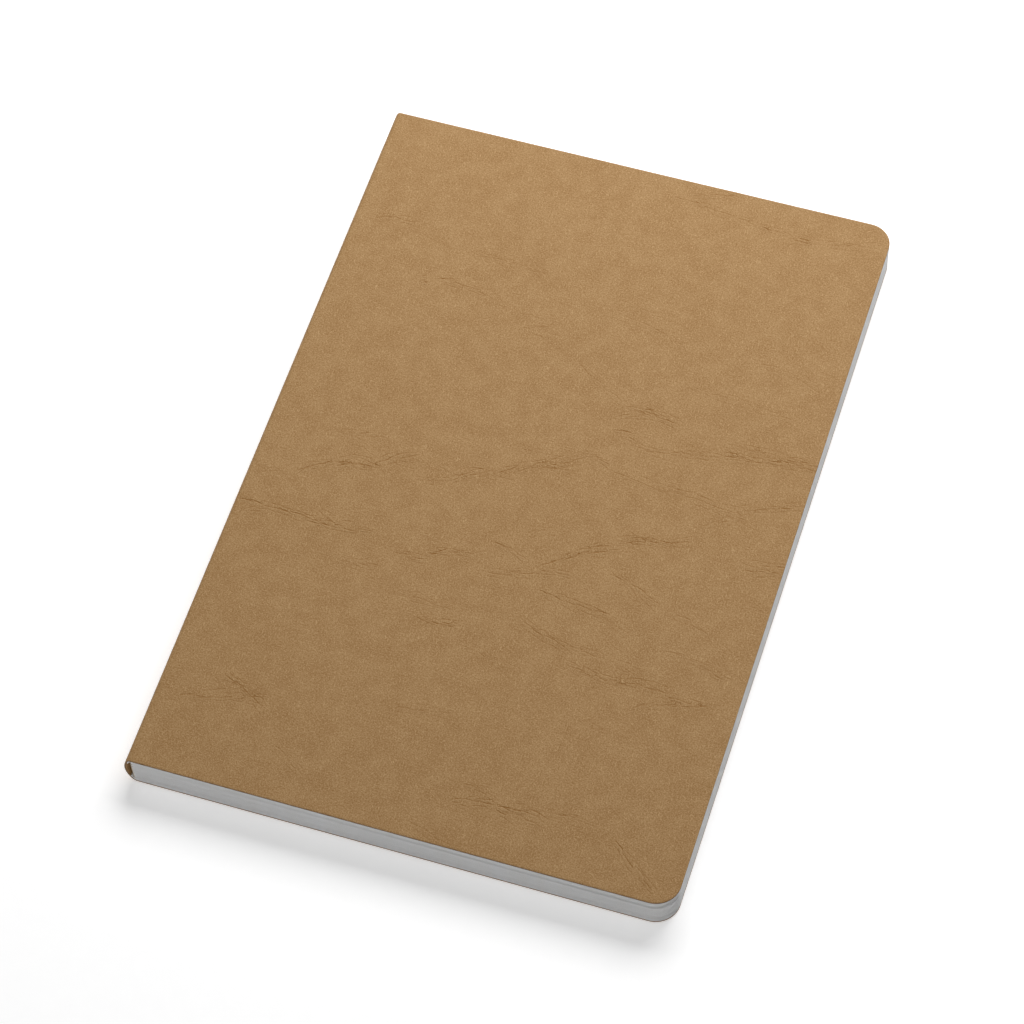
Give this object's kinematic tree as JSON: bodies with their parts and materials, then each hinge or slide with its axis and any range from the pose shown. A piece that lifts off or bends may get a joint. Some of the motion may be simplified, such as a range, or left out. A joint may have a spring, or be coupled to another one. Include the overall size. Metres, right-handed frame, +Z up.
{
  "type": "sketchbook",
  "caption": "Slim softcover sketchbook with a wrap-round kraft card cover, rounded fore-edge corners and section-sewn blank pages that open at the front and the back.",
  "frame": {"origin": "middle of the underside of the closed book, which lies on its back cover", "axes": "+X from the spine to the fore-edge, +Y from the tail to the head, +Z up through the front cover"},
  "size_m": [0.1406, 0.21, 0.01],
  "materials": {
    "kraft_card": "matte",
    "endpaper": "matte",
    "drawing_paper": "matte",
    "thread": "waxed",
    "glue": "dried film",
    "lining": "open weave"
  },
  "bodies": {
    "back_cover": {"back_cover": "kraft_card", "back_pastedown": "endpaper"},
    "text_block": {"spine_strip": "kraft_card", "spine_glue": "glue", "spine_lining": "lining", "signature_1_rear_leaf_1": "drawing_paper", "signature_1_rear_leaf_2": "drawing_paper", "signature_1_rear_leaf_3": "drawing_paper", "signature_1_rear_leaf_4": "drawing_paper", "signature_2_sheet_1": "drawing_paper", "signature_2_sheet_2": "drawing_paper", "signature_2_sheet_3": "drawing_paper", "signature_2_sheet_4": "drawing_paper", "signature_3_sheet_1": "drawing_paper", "signature_3_sheet_2": "drawing_paper", "signature_3_sheet_3": "drawing_paper", "signature_3_sheet_4": "drawing_paper", "signature_4_sheet_1": "drawing_paper", "signature_4_sheet_2": "drawing_paper", "signature_4_sheet_3": "drawing_paper", "signature_4_sheet_4": "drawing_paper", "signature_5_sheet_1": "drawing_paper", "signature_5_sheet_2": "drawing_paper", "signature_5_sheet_3": "drawing_paper", "signature_5_sheet_4": "drawing_paper", "signature_6_sheet_1": "drawing_paper", "signature_6_sheet_2": "drawing_paper", "signature_6_sheet_3": "drawing_paper", "signature_6_sheet_4": "drawing_paper", "signature_7_sheet_1": "drawing_paper", "signature_7_sheet_2": "drawing_paper", "signature_7_sheet_3": "drawing_paper", "signature_7_sheet_4": "drawing_paper", "signature_8_front_leaf_1": "drawing_paper", "signature_8_front_leaf_2": "drawing_paper", "signature_8_front_leaf_3": "drawing_paper", "signature_8_front_leaf_4": "drawing_paper", "sewing_thread_1": "thread", "sewing_thread_2": "thread", "sewing_thread_3": "thread", "sewing_thread_4": "thread", "sewing_thread_5": "thread", "sewing_thread_6": "thread", "sewing_thread_7": "thread", "sewing_thread_8": "thread"},
    "front_cover": {"front_cover": "kraft_card", "front_pastedown": "endpaper"},
    "front_flyleaf": {"front_flyleaf": "endpaper"},
    "front_leaf_1": {"signature_1_front_leaf_1": "drawing_paper"},
    "front_leaf_2": {"signature_1_front_leaf_2": "drawing_paper"},
    "front_leaf_3": {"signature_1_front_leaf_3": "drawing_paper"},
    "front_leaf_4": {"signature_1_front_leaf_4": "drawing_paper"},
    "back_flyleaf": {"back_flyleaf": "endpaper"},
    "rear_leaf_1": {"signature_8_rear_leaf_1": "drawing_paper"},
    "rear_leaf_2": {"signature_8_rear_leaf_2": "drawing_paper"},
    "rear_leaf_3": {"signature_8_rear_leaf_3": "drawing_paper"},
    "rear_leaf_4": {"signature_8_rear_leaf_4": "drawing_paper"}
  },
  "joints": [
    {"name": "back_hinge", "type": "hinge", "parent": "back_cover", "child": "text_block", "pos_m": [-0.0689, 0, 0.00083], "axis": [0, -1, 0], "range_deg": [0, 178]},
    {"name": "front_hinge", "type": "hinge", "parent": "text_block", "child": "front_cover", "pos_m": [-0.0695, 0, 0.00936], "axis": [0, -1, 0], "range_deg": [0, 178]},
    {"name": "front_flyleaf_turn", "type": "hinge", "parent": "text_block", "child": "front_flyleaf", "pos_m": [-0.06903, 0, 0.00944], "axis": [0, -1, 0], "range_deg": [0, 151.3]},
    {"name": "front_leaf_1_turn", "type": "hinge", "parent": "text_block", "child": "front_leaf_1", "pos_m": [-0.06783, 0, 0.00864], "axis": [0, -1, 0], "range_deg": [0, 121.04]},
    {"name": "front_leaf_2_turn", "type": "hinge", "parent": "text_block", "child": "front_leaf_2", "pos_m": [-0.06783, 0, 0.00864], "axis": [0, -1, 0], "range_deg": [0, 94.34]},
    {"name": "front_leaf_3_turn", "type": "hinge", "parent": "text_block", "child": "front_leaf_3", "pos_m": [-0.06783, 0, 0.00864], "axis": [0, -1, 0], "range_deg": [0, 67.64]},
    {"name": "front_leaf_4_turn", "type": "hinge", "parent": "text_block", "child": "front_leaf_4", "pos_m": [-0.06783, 0, 0.00864], "axis": [0, -1, 0], "range_deg": [0, 39.16]},
    {"name": "back_flyleaf_turn", "type": "hinge", "parent": "text_block", "child": "back_flyleaf", "pos_m": [-0.0687, 0, 0.00076], "axis": [0, -1, 0], "range_deg": [-151.3, 0]},
    {"name": "rear_leaf_1_turn", "type": "hinge", "parent": "text_block", "child": "rear_leaf_1", "pos_m": [-0.06753, 0, 0.00136], "axis": [0, -1, 0], "range_deg": [-121.04, 0]},
    {"name": "rear_leaf_2_turn", "type": "hinge", "parent": "text_block", "child": "rear_leaf_2", "pos_m": [-0.06753, 0, 0.00136], "axis": [0, -1, 0], "range_deg": [-94.34, 0]},
    {"name": "rear_leaf_3_turn", "type": "hinge", "parent": "text_block", "child": "rear_leaf_3", "pos_m": [-0.06753, 0, 0.00136], "axis": [0, -1, 0], "range_deg": [-67.64, 0]},
    {"name": "rear_leaf_4_turn", "type": "hinge", "parent": "text_block", "child": "rear_leaf_4", "pos_m": [-0.06753, 0, 0.00136], "axis": [0, -1, 0], "range_deg": [-39.16, 0]}
  ],
  "couplings": [
    {"joint": "front_flyleaf_turn", "follows": "front_hinge", "ratio": 0.85},
    {"joint": "front_leaf_1_turn", "follows": "front_hinge", "ratio": 0.68},
    {"joint": "front_leaf_2_turn", "follows": "front_hinge", "ratio": 0.53},
    {"joint": "front_leaf_3_turn", "follows": "front_hinge", "ratio": 0.38},
    {"joint": "front_leaf_4_turn", "follows": "front_hinge", "ratio": 0.22},
    {"joint": "back_flyleaf_turn", "follows": "back_hinge", "ratio": -0.85},
    {"joint": "rear_leaf_1_turn", "follows": "back_hinge", "ratio": -0.68},
    {"joint": "rear_leaf_2_turn", "follows": "back_hinge", "ratio": -0.53},
    {"joint": "rear_leaf_3_turn", "follows": "back_hinge", "ratio": -0.38},
    {"joint": "rear_leaf_4_turn", "follows": "back_hinge", "ratio": -0.22}
  ]
}
